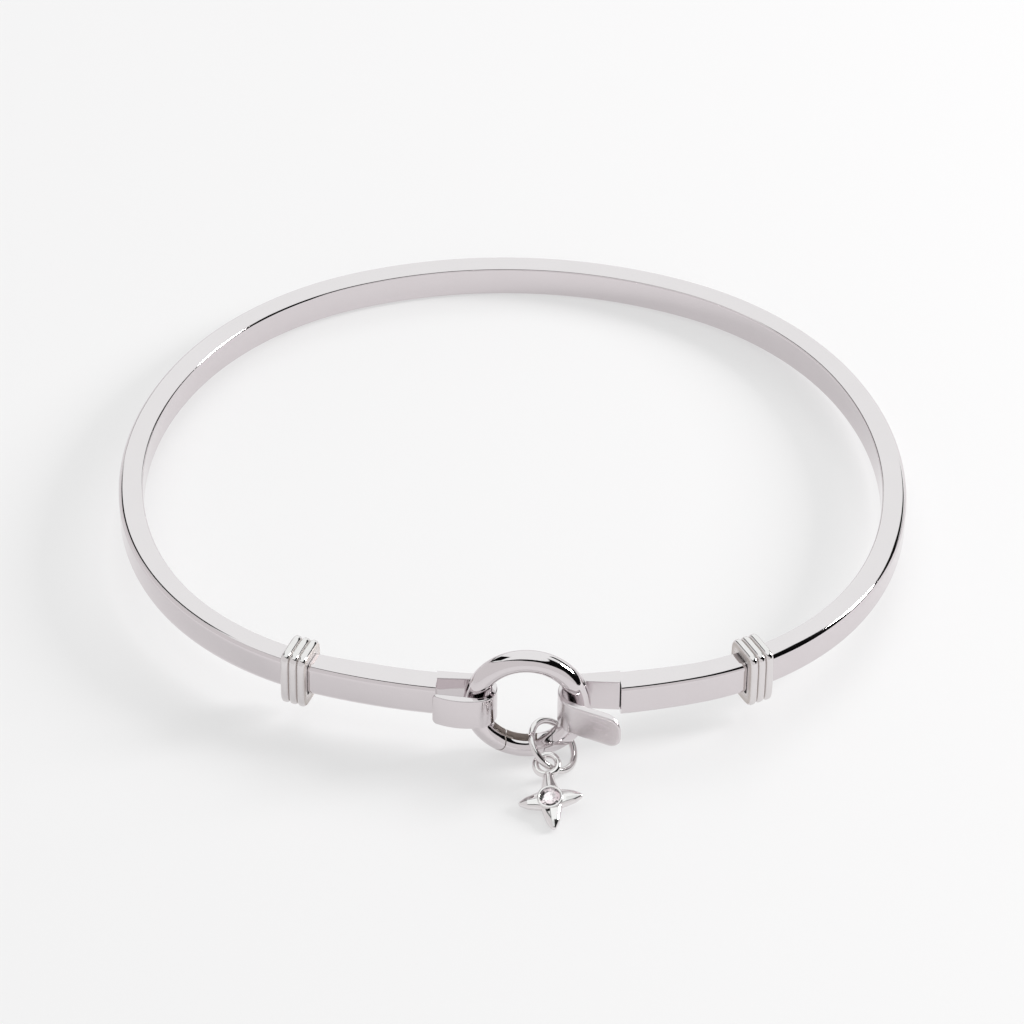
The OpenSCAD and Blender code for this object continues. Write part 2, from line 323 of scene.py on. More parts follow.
# The band is an oval bar. Its edges are rounder outside than inside, and its front was forged
# a little deeper and thinner than its back.
band = {
    "outerWidth": 68.0,
    "thickness": 2.1,
    "height": 2.85,
    "outerEdgeRadius": 0.52,
    "innerEdgeRadius": 0.24,
    "restEdgeRadius": 0.28,  # where the back edge lies on the floor
    "backMargin": 0.1,
    "forgedFrom": -8.0,
    "forgedLength": 12.0,
    "frontDrop": 0.32,
    "frontThin": 0.2,
    "thinFrom": 11.0,
    "thinLength": 5.0,
    "backRadius": 39.5,
    "shoulderRadius": 28.5,
    "frontCornerRadius": 24.2,
    "arcEnds": (0, 22, 62, 100, 162.5, 180),
    "leftStep": 5.6,
    "rightStep": 9.5,
    "degreesPerStation": 0.75,
    "edgeSteps": 10,
}


# Plan of the band's middle line, as arcs on the right half: centre, radius, first and last angle
def planArcs():
    a = [math.radians(x) for x in band["arcEnds"]]
    half = band["outerWidth"] / 2 - band["thickness"] / 2
    back, shoulder, corner = band["backRadius"], band["shoulderRadius"], band["frontCornerRadius"]
    side = (half - (back - shoulder) * math.sin(a[1]) - shoulder * math.sin(a[2])) / (1 - math.sin(a[2]))
    front = corner + (half - side + (side - corner) * math.sin(a[3])) / math.sin(a[4])
    radii = [back, shoulder, side, corner, front]
    centre = np.array([0.0, -back])
    arcs = []
    for i, radius in enumerate(radii):
        if i:
            centre = centre + (radii[i - 1] - radius) * np.array([math.sin(a[i]), math.cos(a[i])])
        arcs.append([centre, radius, a[i], a[i + 1]])
    depth = front - centre[1]
    for arc in arcs:
        arc[0] = arc[0] + np.array([0.0, depth / 2])
    return arcs, depth


arcs, planDepth = planArcs()
cornerArc, frontArc = arcs[3], arcs[4]


# The band's inner side at the front
def innerLine(x):
    radius = frontArc[1] - band["thickness"] / 2
    return frontArc[0][1] - np.sqrt(radius ** 2 - np.square(x))


# The oval bar follows its path: a filleted section is swept along it
def barTree():
    tree, given = newShapeTree("filleted_bar", [
        ("Thickness", "Float", 1.0), ("Height", "Float", 1.0),
        ("Outer edge radius", "Float", 0.1), ("Inner edge radius", "Float", 0.1),
        ("Edge steps", "Int", 6), ("Material", "Material", None)])
    place = addNode(tree, "ShaderNodeSeparateXYZ", None, {0: addNode(tree, "GeometryNodeInputPosition").outputs[0]})
    outside = addNode(tree, "FunctionNodeCompare", {"operation": "LESS_THAN"}, {"A": place.outputs["X"], "B": 0.0})
    radius = addNode(tree, "GeometryNodeSwitch", {"input_type": "FLOAT"}, {
        "Switch": outside.outputs[0], "False": given["Inner edge radius"], "True": given["Outer edge radius"]})
    section = addNode(tree, "GeometryNodeCurvePrimitiveQuadrilateral", None,
                      {"Width": given["Thickness"], "Height": given["Height"]})
    fillet = addNode(tree, "GeometryNodeFilletCurve", {"mode": "POLY"}, {
        "Curve": section.outputs[0], "Radius": radius.outputs[0], "Count": given["Edge steps"]})
    swept = addNode(tree, "GeometryNodeCurveToMesh", None, {
        "Curve": given["Geometry"], "Profile Curve": fillet.outputs[0], "Fill Caps": True})
    closeShapeTree(tree, given, swept.outputs[0])
    return tree


# The middle line at half height, from the left step round the back to the right step
def barPath():
    halves = []
    for side, step in ((-1, band["leftStep"]), (1, band["rightStep"])):
        end = math.pi - math.asin(step / frontArc[1])
        angles = []
        for centre, radius, low, high in arcs:
            high = min(high, end)
            count = max(2, int(math.degrees(high - low) / band["degreesPerStation"]))
            angles += [(centre, radius, a) for a in np.linspace(low, high, count, endpoint=False)]
        angles.append((*frontArc[:2], end))
        halves.append([(side * (centre[0] + radius * math.sin(a)), centre[1] + radius * math.cos(a),
                        band["height"] / 2, 1.0) for centre, radius, a in angles])
    points = np.array(halves[0][::-1] + halves[1][1:])
    curve = bpy.data.curves.new("path", "CURVE")
    curve.dimensions = "3D"
    spline = curve.splines.new("POLY")
    spline.points.add(len(points) - 1)
    spline.points.foreach_set("co", points.ravel())
    return curve


# For each point, which way is out of the oval, and how far out of the middle line it is
def outAndDepth(points):
    x, y = np.abs(points[:, 0]), points[:, 1]
    best = np.full(len(points), np.inf)
    out, depth = np.zeros((len(points), 2)), np.zeros(len(points))
    for centre, radius, low, high in arcs:
        toward = np.column_stack([x, y]) - centre
        angle = np.arctan2(toward[:, 0], toward[:, 1])
        angle = np.where(angle < 0, angle + 2 * math.pi, angle)
        miss = np.maximum(low - angle, 0) + np.maximum(angle - high, 0)
        if low == 0:
            miss = np.minimum(miss, np.abs(angle - 2 * math.pi))
        nearer = miss < best
        best = np.where(nearer, miss, best)
        out[nearer] = unit(toward)[nearer]
        depth = np.where(nearer, np.linalg.norm(toward, axis=1) - radius, depth)
    out[:, 0] *= np.where(points[:, 0] < 0, -1, 1)
    return out, depth


# Deepens the front below and thins it inside, with a smooth start
def forgedFront(points):
    out, depth = outAndDepth(points)
    share = np.clip((band["forgedFrom"] - points[:, 1]) / band["forgedLength"], 0, 1)
    share = share ** 2 * (3 - 2 * share)
    beside = np.clip((np.abs(points[:, 0]) - band["thinFrom"]) / band["thinLength"], 0, 1)
    inward = np.clip(-depth / band["thickness"] * 2, 0, 1)
    shifted = points.copy()
    shifted[:, :2] += out * (share * beside * band["frontThin"] * inward)[:, None]
    shifted[:, 2] -= share * band["frontDrop"] * np.clip(1 - points[:, 2] / band["height"], 0, 1)
    return shifted


# Exact normals of the bar: flat sides, and edges round about their own lines
def barRule(points):
    out, depth = outAndDepth(points)
    z = points[:, 2] - band["height"] / 2
    radius = np.where(depth > 0, band["outerEdgeRadius"], band["innerEdgeRadius"])
    past = np.abs(depth) - (band["thickness"] / 2 - radius)
    over = np.abs(z) - (band["height"] / 2 - radius)
    side = np.where(past > -1e-4, np.maximum(past, 0), 0)
    rise = np.where(over > -1e-4, np.maximum(over, 0), 0)
    plain = (side + rise) < 1e-6
    rise = np.where(plain & (over > past), 1, rise)
    side = np.where(plain & (over <= past), 1, side)
    flat = out * (side * np.sign(depth))[:, None]
    return unit(np.column_stack([flat, rise * np.sign(z)])), np.ones(len(points), dtype=bool)


def makeBar():
    mesh = runShapeTree(barTree(), barPath(), {
        "Thickness": band["thickness"], "Height": band["height"],
        "Outer edge radius": band["outerEdgeRadius"], "Inner edge radius": band["innerEdgeRadius"],
        "Edge steps": band["edgeSteps"], "Material": polished})
    return newObject("band_bar", polish(mesh, barRule, resting, reshape=forgedFront))


# The ends are thin strips, bent round the ring: a closed loop on the left, a hook with a tab on the right
ends = {
    "stripThickness": 0.98,
    "stripOver": 0.1,  # past the bar's top and bottom
    "stripLap": 0.02,
    "edgeRadius": 0.1,
    "edgeSteps": 6,
    "bendReach": 2.96,
    "loopRadius": 1.77,
    "loopSlotRadius": 1.14,
    "loopSlotDrop": 0.02,
    "loopBendShift": 0.12,
    "loopBulgeRadius": 6.0,
    "loopBulgeShift": (0.93, 0.06),
    "loopEdgeRadius": 0.15,
    "loopTipRadius": 0.4,
    "loopEndReach": 0.35,
    "loopEndWall": (0.06, 0.32),
    "hookRadius": 2.27,
    "hookSlotRadius": 1.33,
    "hookSlotRise": 0.09,
    "hookBendShift": (0.5, 0.05),
    "hookBendFrom": 94,
    "tabFlare": 23.5,
    "tabLength": 4.3,
    "tabTipRadius": 1.2,
    "tabEdgeRadius": 0.24,
}

stripFace = float(innerLine(band["leftStep"])) - ends["stripThickness"]


def arcPoints(centre, radius, start, stop, count):
    a = np.radians(np.linspace(start, stop, count))
    return np.column_stack([centre[0] + radius * np.cos(a), centre[1] + radius * np.sin(a)])


# The strip's two sides in plan: from the step of the bar, then each round its own bend
def stripSides(step, bend, bendRadius, bendFrom, slot, slotRadius, bendTo, count):
    x = np.linspace(step, bend[0], 10)
    outside = np.column_stack([x, innerLine(x)])
    inside = np.column_stack([np.linspace(step, slot[0], 10), np.linspace(stripFace, slot[1] + slotRadius, 10)])
    return (np.concatenate([outside, arcPoints(bend, bendRadius, bendFrom, bendTo, count)[1:]]),
            np.concatenate([inside, arcPoints(slot, slotRadius, 90, bendTo, count)[1:]]))


# Stations of a strip's free end: how far out each one is, and how far it leans over the rounded tip
def freeEnd(length, tip, straightCount, tipCount):
    straight = np.linspace(0, length - tip, straightCount)[1:]
    lean = np.linspace(0, math.pi / 2, tipCount)[1:]
    return np.concatenate([straight, length - tip + tip * np.sin(lean)]), np.concatenate([0 * straight, lean])


# A strip between two lines in plan. Its rounded edges widen towards the free end, where the top
# and bottom drop and lean over.
def ribbon(outer, inner, lean, tip, widenFrom, edgeRadius):
    before = len(outer) - len(lean)
    radius = np.interp(np.arange(len(outer)), [0, widenFrom, before],
                       [ends["edgeRadius"], ends["edgeRadius"], edgeRadius])
    lean = np.concatenate([np.zeros(before), lean])
    drop = tip * (1 - np.cos(lean))
    low, high = drop - ends["stripOver"], band["height"] + ends["stripOver"] - drop
    level = np.zeros(len(outer))
    across = unit(outer - inner)
    along = unit(np.gradient(outer + inner, axis=0))
    sides = []
    for line, sign in ((outer, 1), (inner, -1)):
        tangent = unit(np.gradient(line, axis=0))
        side = np.column_stack([tangent[:, 1], -tangent[:, 0]])
        facing = np.sign(np.sum(side * across, axis=1, keepdims=True)) * sign
        sides.append(np.column_stack([side * facing, level]))
    up = np.column_stack([along * np.sin(lean)[:, None], np.cos(lean)])
    down = up * (1, 1, -1)
    reach = np.column_stack([across, level])
    angles = np.linspace(0, math.pi / 2, ends["edgeSteps"] + 1)
    rings, normals = [], []
    for line, turn, height, lift, side, sequence in (
            (outer, 1, low, down, sides[0], angles[::-1]), (outer, 1, high, up, sides[0], angles),
            (inner, -1, high, up, sides[1], angles[::-1]), (inner, -1, low, down, sides[1], angles)):
        base = np.column_stack([line, height]) - radius[:, None] * (turn * reach + lift)
        for angle in sequence:
            rings.append(base + radius[:, None] * (math.cos(angle) * turn * reach + math.sin(angle) * lift))
            normals.append(unit(math.cos(angle) * side + math.sin(angle) * lift))
    start = len(rings) // 4
    shells = Shells()
    shells.loft(np.stack(rings[start:] + rings[:start], axis=1), np.stack(normals[start:] + normals[:start], axis=1),
                closed=False)
    return shells


def makeLoopEnd():
    slotRadius, loopRadius, bulgeRadius = ends["loopSlotRadius"], ends["loopRadius"], ends["loopBulgeRadius"]
    slot = np.array([ring["centreX"] - ends["bendReach"] - slotRadius, stripFace - slotRadius - ends["loopSlotDrop"]])
    bend = np.array([slot[0] - ends["loopBendShift"], float(innerLine(slot[0])) - loopRadius])
    bulge = np.array([slot[0], bend[1] - loopRadius + bulgeRadius]) - ends["loopBulgeShift"]
    endX = -band["leftStep"] - ends["loopEndReach"]
    outer, inner = stripSides(-band["leftStep"] - ends["stripLap"], bend, loopRadius, 90, slot, slotRadius, -90, 48)

    # The front wall bulges a little. Its free end is rounded over from top to bottom.
    front = arcPoints(bulge, bulgeRadius, 270 + math.degrees(math.asin((bend[0] - bulge[0]) / bulgeRadius)),
                      270 - math.degrees(math.asin((bulge[0] - endX) / bulgeRadius)), 40)
    back = np.linspace(slot - (0, slotRadius), front[-1] + ends["loopEndWall"], len(front))
    length = float(np.linalg.norm(front[-1] - front[0]))
    reach, lean = freeEnd(length, ends["loopTipRadius"], 16, 13)
    share, marks = reach / length * (len(front) - 1), np.arange(len(front))
    outer, inner = (np.concatenate([line, np.column_stack([np.interp(share, marks, wall[:, k]) for k in (0, 1)])])
                    for line, wall in ((outer, front), (inner, back)))
    return ribbon(outer, inner, lean, ends["loopTipRadius"], 10, ends["loopEdgeRadius"])


def makeHookEnd():
    slotRadius, flare = ends["hookSlotRadius"], math.radians(ends["tabFlare"])
    slot = np.array([ring["centreX"] + ends["bendReach"] + slotRadius, stripFace - slotRadius + ends["hookSlotRise"]])
    bend = slot + ends["hookBendShift"]
    outer, inner = stripSides(band["rightStep"] + ends["stripLap"], bend, ends["hookRadius"], ends["hookBendFrom"],
                              slot, slotRadius, 270 - ends["tabFlare"], 52)

    # The tab runs on straight from the bend
    reach, lean = freeEnd(ends["tabLength"], ends["tabTipRadius"], 10, 17)
    direction = np.array([math.cos(flare), -math.sin(flare)])
    outer, inner = (np.concatenate([line, line[-1] + reach[:, None] * direction]) for line in (outer, inner))
    return ribbon(outer, inner, lean, ends["tabTipRadius"], 20, ends["tabEdgeRadius"])


# Each wrap is three turns of flat wire round the band, sagging outwards and down by a hair
wrap = {
    "turnWidth": 0.73,
    "turns": 3,
    "seam": 0.004,
    "proud": (0.86, 1.09),
    "squareness": 5.5,
    # painted shade along the grooves at the edges of each turn, and on its inner channel
    "groove": 0.2,
    "grooveShade": 0.4,
    "channelShade": 0.1,
    "sag": (0.1, -0.11),
    "gapToBand": 0.05,
    "channelCorner": 0.28,
    "leftAngle": 20.4,
    "rightAngle": 29.4,
}


# One turn: a flat wire with rounded edges, bent round the band's section
def wrapTurn():
    half = wrap["turnWidth"] / 2 - wrap["seam"]
    section = np.array([band["thickness"] - band["frontThin"], band["height"] + band["frontDrop"]]) / 2
    middle = -np.array([band["frontThin"], band["frontDrop"]]) / 2
    outside, channel = section + wrap["proud"], section + wrap["gapToBand"] - wrap["channelCorner"]
    across = np.linspace(-1, 1, 17)
    drop = wrap["groove"] * np.abs(across) ** 3
    slope = -3 * wrap["groove"] * np.abs(across) ** 2 * np.sign(across) / half
    # painted shade: darker at the edges of each turn and on the channel against the band
    paintedShade = np.concatenate([wrap["grooveShade"] * np.clip((np.abs(across) - 0.84) / 0.16, 0, 1),
                           [wrap["channelShade"]] * 2])
    power = wrap["squareness"]
    positions, normals = [], []
    for angle in np.radians(np.arange(0, 360, 5)):
        ray = np.array([math.cos(angle), math.sin(angle)])
        rim = ray * outside / np.sum(np.abs(ray) ** power) ** (1 / power)
        out = unit(np.sign(ray) * np.abs(rim / outside) ** (power - 1) / outside)
        rim = rim + wrap["sag"]
        low = channel * np.clip(rim / (channel + wrap["channelCorner"]), -1, 1)
        inward = -unit(rim - low)
        low = middle + low - wrap["channelCorner"] * inward
        positions.append([[*(middle + rim - h * out), s * half] for h, s in zip(drop, across)]
                         + [[*low, half], [*low, -half]])
        normals.append([unit(np.array([*out, -k])) for k in slope] + [np.array([*inward, 0.0])] * 2)
    shells = Shells()
    shells.loft(np.array(positions), np.array(normals), recessShade=[paintedShade] * len(positions))
    return shells


# A turn as plain data for the tree, with its corner normals in an attribute that the tree carries along
def turnMesh():
    shells = wrapTurn()
    points = np.concatenate(shells.points)
    mesh = bpy.data.meshes.new("turn")
    mesh.from_pydata(points.tolist(), [], shells.faces)
    setRecessShade(mesh, "POINT", np.concatenate(shells.recessShade))
    corners = []
    for face, normals in zip(shells.faces, shells.normals):
        a, b, c = points[face[:3]]
        plane = unit(np.cross(b - a, c - a))
        corners.append(normals if (normals @ plane).min() > 0.8 else np.tile(plane, (len(face), 1)))
    finish = mesh.attributes.new("finish", "FLOAT_VECTOR", "CORNER")
    finish.data.foreach_set("vector", np.concatenate(corners).ravel())
    mesh.update()
    return mesh


# A wrap repeats its turn along the wire, side by side
def wrapTree():
    tree, given = newShapeTree("side_by_side_turns", [
        ("Turns", "Int", 3), ("Turn width", "Float", 0.7),
        ("Material", "Material", None)])
    first = (Term(tree, given["Turns"]) - 1.0) * Term(tree, given["Turn width"]) * -0.5
    start = addNode(tree, "ShaderNodeCombineXYZ", None, {"Z": first})
    step = addNode(tree, "ShaderNodeCombineXYZ", None, {"Z": given["Turn width"]})
    line = addNode(tree, "GeometryNodeMeshLine", None, {
        "Count": given["Turns"], "Start Location": start.outputs[0], "Offset": step.outputs[0]})
    laid = addNode(tree, "GeometryNodeInstanceOnPoints", None,
                   {"Points": line.outputs[0], "Instance": given["Geometry"]})
    closeShapeTree(tree, given, laid.outputs[0])
    return tree


def makeWrap(name, tree, angle, mirrored):
    mesh = runShapeTree(tree, turnMesh(), {"Turns": wrap["turns"], "Turn width": wrap["turnWidth"],
                                           "Material": wireSilver})
    centre, radius = cornerArc[:2]
    a = math.radians(angle)
    place = (centre[0] + radius * math.sin(a), centre[1] - radius * math.cos(a), band["height"] / 2)
    local = Matrix.Translation(place) @ rotation(90 + angle, "Z") @ rotation(90, "X")
    if mirrored:
        mesh.flip_normals()
    corners = np.empty(len(mesh.loops) * 3)
    mesh.attributes["finish"].data.foreach_get("vector", corners)
    mesh.attributes.remove(mesh.attributes["finish"])
    points, normals = placed(readMesh(mesh)[0], corners.reshape(-1, 3), local)
    if mirrored:
        points, normals = points * (-1, 1, 1), normals * (-1, 1, 1)
    finishMesh(mesh, *placed(points, normals, resting))
    return newObject(name, mesh)


# The clasp ring and its gate keep the shape of their solids. Their flat cuts get painted shade.
ring = {
    "radius": 4.36,
    "wireRadius": 0.94,
    "centreX": 1.87,
    "beforeStrip": 1.16,
    "lean": 4.5,
    "hingeAngle": 37.5,
    "pinRadius": 0.254,
    # painted shade on the flat cuts and seams
    "recessShade": 0.45,
}


# A round wire of a given radius has exact normals about its own ring
def wireRule(radius, wire, within=0.004):
    def rule(points):
        away = points - unit(points * (1, 1, 0)) * radius
        return unit(away), np.abs(np.linalg.norm(away, axis=1) - wire) < within
    return rule


# Copy of a CAD solid, merged, in a local frame of millimetres
def nodeCopy(name, transform):
    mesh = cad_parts[name].data.copy()
    edit = bmesh.new()
    edit.from_mesh(mesh)
    bmesh.ops.remove_doubles(edit, verts=edit.verts, dist=0.5e-6)
    edit.to_mesh(mesh)
    edit.free()
    mesh.transform(transform.inverted())
    mesh.materials.clear()
    mesh.materials.append(polished)
    mesh.update()
    return mesh


def makeRingPart(name, node):
    rule = wireRule(ring["radius"], ring["wireRadius"])
    return newObject(name, polish(nodeCopy(node, ringFrame), rule, ringFrame, 0.9, recess=ring["recessShade"]))


# The hinge's pin is filed flush, so its ends carry on the round of the ring
def makePin():
    angle = math.radians(-ring["hingeAngle"])
    middle = np.array([math.cos(angle), math.sin(angle)]) * ring["radius"]
    turn = np.linspace(0, 2 * math.pi, 32, endpoint=False)
    around = np.stack([np.cos(turn), np.sin(turn)], axis=1)[:, None]
    reach = np.array([0.001, 0.1, 0.18, ring["pinRadius"]])[None, :, None]
    flat = middle + reach * around
    off = np.linalg.norm(flat, axis=2, keepdims=True) - ring["radius"]
    rise = np.sqrt(ring["wireRadius"] ** 2 - off ** 2)
    top = np.concatenate([flat, rise], axis=2)
    facing = np.concatenate([unit(flat) * off, rise], axis=2) / ring["wireRadius"]
    side = np.concatenate([around, np.zeros((len(turn), 1, 1))], axis=2)
    below = (1, 1, -1)
    shells = Shells()
    shells.loft(np.concatenate([top, top[:, -1:], top[:, -1:] * below, top[:, ::-1] * below], axis=1),
                np.concatenate([facing, side, side, facing[:, ::-1] * below], axis=1))
    return shells.make("hinge_pin", polished, ringFrame)


# The jump ring hangs on the clasp ring and lies on the floor
jumpRing = {
    "radius": 2.27,
    "wireRadius": 0.295,
    "centre": (4.09, -30.711, 1.762),
    "yaw": -13.9,
    "lean": 40.1,
    "ringSteps": 144,
    "wireSteps": 32,
}


# Rings of round wire, made by one tree
def wireTree():
    tree, given = newShapeTree("wire_ring", [
        ("Ring radius", "Float", 1.0), ("Wire radius", "Float", 0.1),
        ("Ring steps", "Int", 128), ("Wire steps", "Int", 32),
        ("Material", "Material", None)])
    path, wire = (addNode(tree, "GeometryNodeCurvePrimitiveCircle", None,
                          {"Radius": given[part + " radius"], "Resolution": given[part + " steps"]})
                  for part in ("Ring", "Wire"))
    swept = addNode(tree, "GeometryNodeCurveToMesh", None,
                    {"Curve": path.outputs[0], "Profile Curve": wire.outputs[0]})
    closeShapeTree(tree, given, swept.outputs[0])
    return tree


def makeWireRing(name, tree, radius, wire, material, transform):
    mesh = runShapeTree(tree, bpy.data.meshes.new("empty"), {
        "Ring radius": radius, "Wire radius": wire, "Ring steps": jumpRing["ringSteps"],
        "Wire steps": jumpRing["wireSteps"], "Material": material})
    return newObject(name, polish(mesh, wireRule(radius, wire, 0.05), transform))


# The star lies tilted on the floor. Its points swell near the middle: each station of "swell" is the share
# of the point's length, the shares of its full width and thickness, and the radius of its edge.
star = {
    "centre": (4.038, -36.165, 0.963),
    "yaw": 6.95,
    "pitch": 12.3,
    "roll": 8.7,
    "sidePoint": 2.68,
    "lowPoint": 2.85,
    "pointWidth": 1.86,
    "neckWidth": 1.674,
    "thickness": 1.3,
    "tipRadius": 0.27,
    "neckRadius": 0.44,
    "swell": ((0.22, 1.0, 0.95, 0.44), (0.45, 0.8, 0.84, 0.44), (0.7, 0.62, 0.7, 0.38)),
    "bailUp": 3.41,
    "bailRadius": 0.93,
    "bailWire": 0.3,
    "bailLap": 0.2,
    "bezelRadius": 1.09,
    "bezelFoot": -0.2,
    "bezelTop": 0.56,
    "bezelRise": 0.08,
    "bezelOverlap": 0.04,
    "bezelGap": 0.015,
    "lipDrop": 0.02,
    "lipUnder": 0.015,
    "seatLap": 0.03,
    "wellMargin": 0.06,
    "wellBelow": 0.02,
    "wellTop": 2.0,
}

stone = {
    "radius": 0.87,
    "table": 0.52,
    "crown": 0.17,
    "girdle": 0.06,
    "pavilion": 0.2,
    "crownRing": 0.84,
    "crownRingShare": 0.46,
    "pavilionRing": 0.62,
    "pavilionRingRise": 0.07,
    "culetRing": 0.28,
    "culetRingRise": 0.01,
    "seatDepth": 0.34,
    "seatGap": 0.02,
}

seat = star["bezelTop"] - stone["seatDepth"]
axis = 0.0005  # a lathe's profile ends just beside its axis


# A convex body over round corners: every point lies on one of the balls, so its normal is exact
def ballHull(balls, detail=3):
    edit = bmesh.new()
    for centre, radius in balls:
        made = bmesh.ops.create_icosphere(edit, subdivisions=detail, radius=radius)
        bmesh.ops.translate(edit, verts=made["verts"], vec=centre)
    hull = bmesh.ops.convex_hull(edit, input=edit.verts)
    spare = [v for v in edit.verts if not v.link_faces]
    inside = [g for g in hull["geom_interior"] if isinstance(g, bmesh.types.BMVert)]
    bmesh.ops.delete(edit, geom=list(set(spare + inside)), context="VERTS")
    hullFaces = set(g for g in hull["geom"] if isinstance(g, bmesh.types.BMFace))
    bmesh.ops.delete(edit, geom=[f for f in edit.faces if f not in hullFaces], context="FACES")
    edit.verts.ensure_lookup_table()
    points = np.array([v.co[:] for v in edit.verts])
    faces = [[v.index for v in f.verts] for f in edit.faces]
    edit.free()
    centres, radii = np.array([b[0] for b in balls], dtype=float), np.array([b[1] for b in balls])
    gap = np.abs(np.linalg.norm(points[:, None] - centres[None], axis=2) - radii)
    normals = unit(points - centres[gap.argmin(axis=1)])
    return points, faces, [normals[f] for f in faces]


# Profile turned about the local z axis
def lathe(shells, profile, facing, count=96):
    turn = np.linspace(0, 2 * math.pi, count, endpoint=False)[:, None]

    def around(line):
        out, up = np.array(line, dtype=float).T
        return np.stack([out * np.cos(turn), out * np.sin(turn), np.broadcast_to(up, (count, len(up)))], axis=2)

    shells.loft(around(profile), around(facing))


# A point of the star is bullet-shaped: a hull over balls at a few stations and one at its tip
def starPoint(shells, reach, tip, rootWidth, turn):
    balls = [((0, reach - tip, 0), tip)]
    for place, width, thickness, ball in star["swell"]:
        half, rise = width * rootWidth / 2, thickness * star["thickness"] / 2
        balls += [((half - ball, place * reach, 0), ball), ((ball - half, place * reach, 0), ball),
                  ((0, place * reach, rise - ball), ball), ((0, place * reach, ball - rise), ball)]
    points, faces, normals = ballHull(balls)
    c, s = math.cos(turn), math.sin(turn)
    spin = np.array([[c, -s, 0], [s, c, 0], [0, 0, 1]])
    shells.add(points @ spin.T, faces, [n @ spin.T for n in normals])


def starArms():
    shells = Shells()
    neck = star["bailUp"] - star["bailRadius"] + star["bailLap"]
    starPoint(shells, neck, star["neckRadius"], star["neckWidth"], 0.0)
    for reach, turn in ((star["lowPoint"], math.pi), (star["sidePoint"], math.pi / 2),
                        (star["sidePoint"], -math.pi / 2)):
        starPoint(shells, reach, star["tipRadius"], star["pointWidth"], turn)
    return shells


# The round setting: a wall whose lip rolls over the stone's edge, and the floor of the seat
def makeSetting():
    outer, inner, foot = star["bezelRadius"], stone["radius"] + star["bezelGap"], star["bezelFoot"]
    lip, rise, base = (outer - inner + star["bezelOverlap"]) / 2, star["bezelRise"], star["bezelTop"] - star["lipDrop"]
    profile, facing = [(outer, foot)], [(1, 0)]
    for angle in np.linspace(0, math.pi, 13):
        profile.append((outer - lip + lip * math.cos(angle), base + rise * math.sin(angle)))
        facing.append(tuple(unit(np.array([math.cos(angle) / lip, math.sin(angle) / rise]))))
    shells = Shells()
    lathe(shells, profile + [(inner, base - star["lipUnder"]), (inner, foot)], facing + [(-1, 0), (-1, 0)])
    rim = inner + star["seatLap"]
    lathe(shells, [(rim, seat), (axis, seat), (axis, foot), (rim, foot)], [(0, 1), (0, 1), (0, -1), (0, -1)])
    return shells.make("star_setting", castSilver, starFrame)


# The well that is cut into the arms for the stone
def stoneWell():
    radius, floor, top = stone["radius"] + star["wellMargin"], seat - star["wellBelow"], star["wellTop"]
    shells = Shells()
    lathe(shells, [(radius, floor), (radius, top), (axis, top), (axis, floor)],
          [(1, 0), (1, 0), (0, 1), (0, -1)], 64)
    return shells


# Cuts a mesh with another one. What is left of the old surface keeps its exact normals.
def cutAway(mesh, cutter):
    corners = np.empty(len(mesh.loops) * 3)
    mesh.loops.foreach_get("normal", corners)
    corners = corners.reshape(-1, 3)
    points, faces, _ = readMesh(mesh)
    starts = [p.loop_start for p in mesh.polygons]
    tree = BVHTree.FromPolygons(points.tolist(), faces)
    body, tool = newObject("body", mesh), newObject("tool", cutter)
    modifier = body.modifiers.new("cut", "BOOLEAN")
    modifier.operation = "DIFFERENCE"
    modifier.solver = "EXACT"
    modifier.use_self = True
    modifier.object = tool
    bpy.context.view_layer.update()
    result = bpy.data.meshes.new_from_object(body.evaluated_get(bpy.context.evaluated_depsgraph_get()))
    bpy.data.objects.remove(body)
    bpy.data.objects.remove(tool)
    newPoints, newFaces, flat = readMesh(result)
    normals = []
    for face, plane in zip(newFaces, flat):
        _, _, index, distance = tree.find_nearest(Vector(newPoints[face].mean(axis=0)))
        own = []
        if distance < 2e-3:
            triangle = [Vector(points[v]) for v in faces[index]]
            for v in face:
                weights = np.clip(poly_3d_calc(triangle, Vector(newPoints[v])), 0, 1)
                own.append(unit(np.array(weights) @ corners[starts[index]:starts[index] + 3]))
        good = own and (np.array(own) @ plane).min() > 0.9
        normals.append(np.array(own) if good else np.tile(plane, (len(face), 1)))
    return result, newPoints, np.concatenate(normals)


def makeStar():
    cut, points, normals = cutAway(starArms().mesh("arms", castSilver), stoneWell().mesh("well", castSilver))
    finishMesh(cut, *placed(points, normals, starFrame))
    return newObject("star_body", cut)


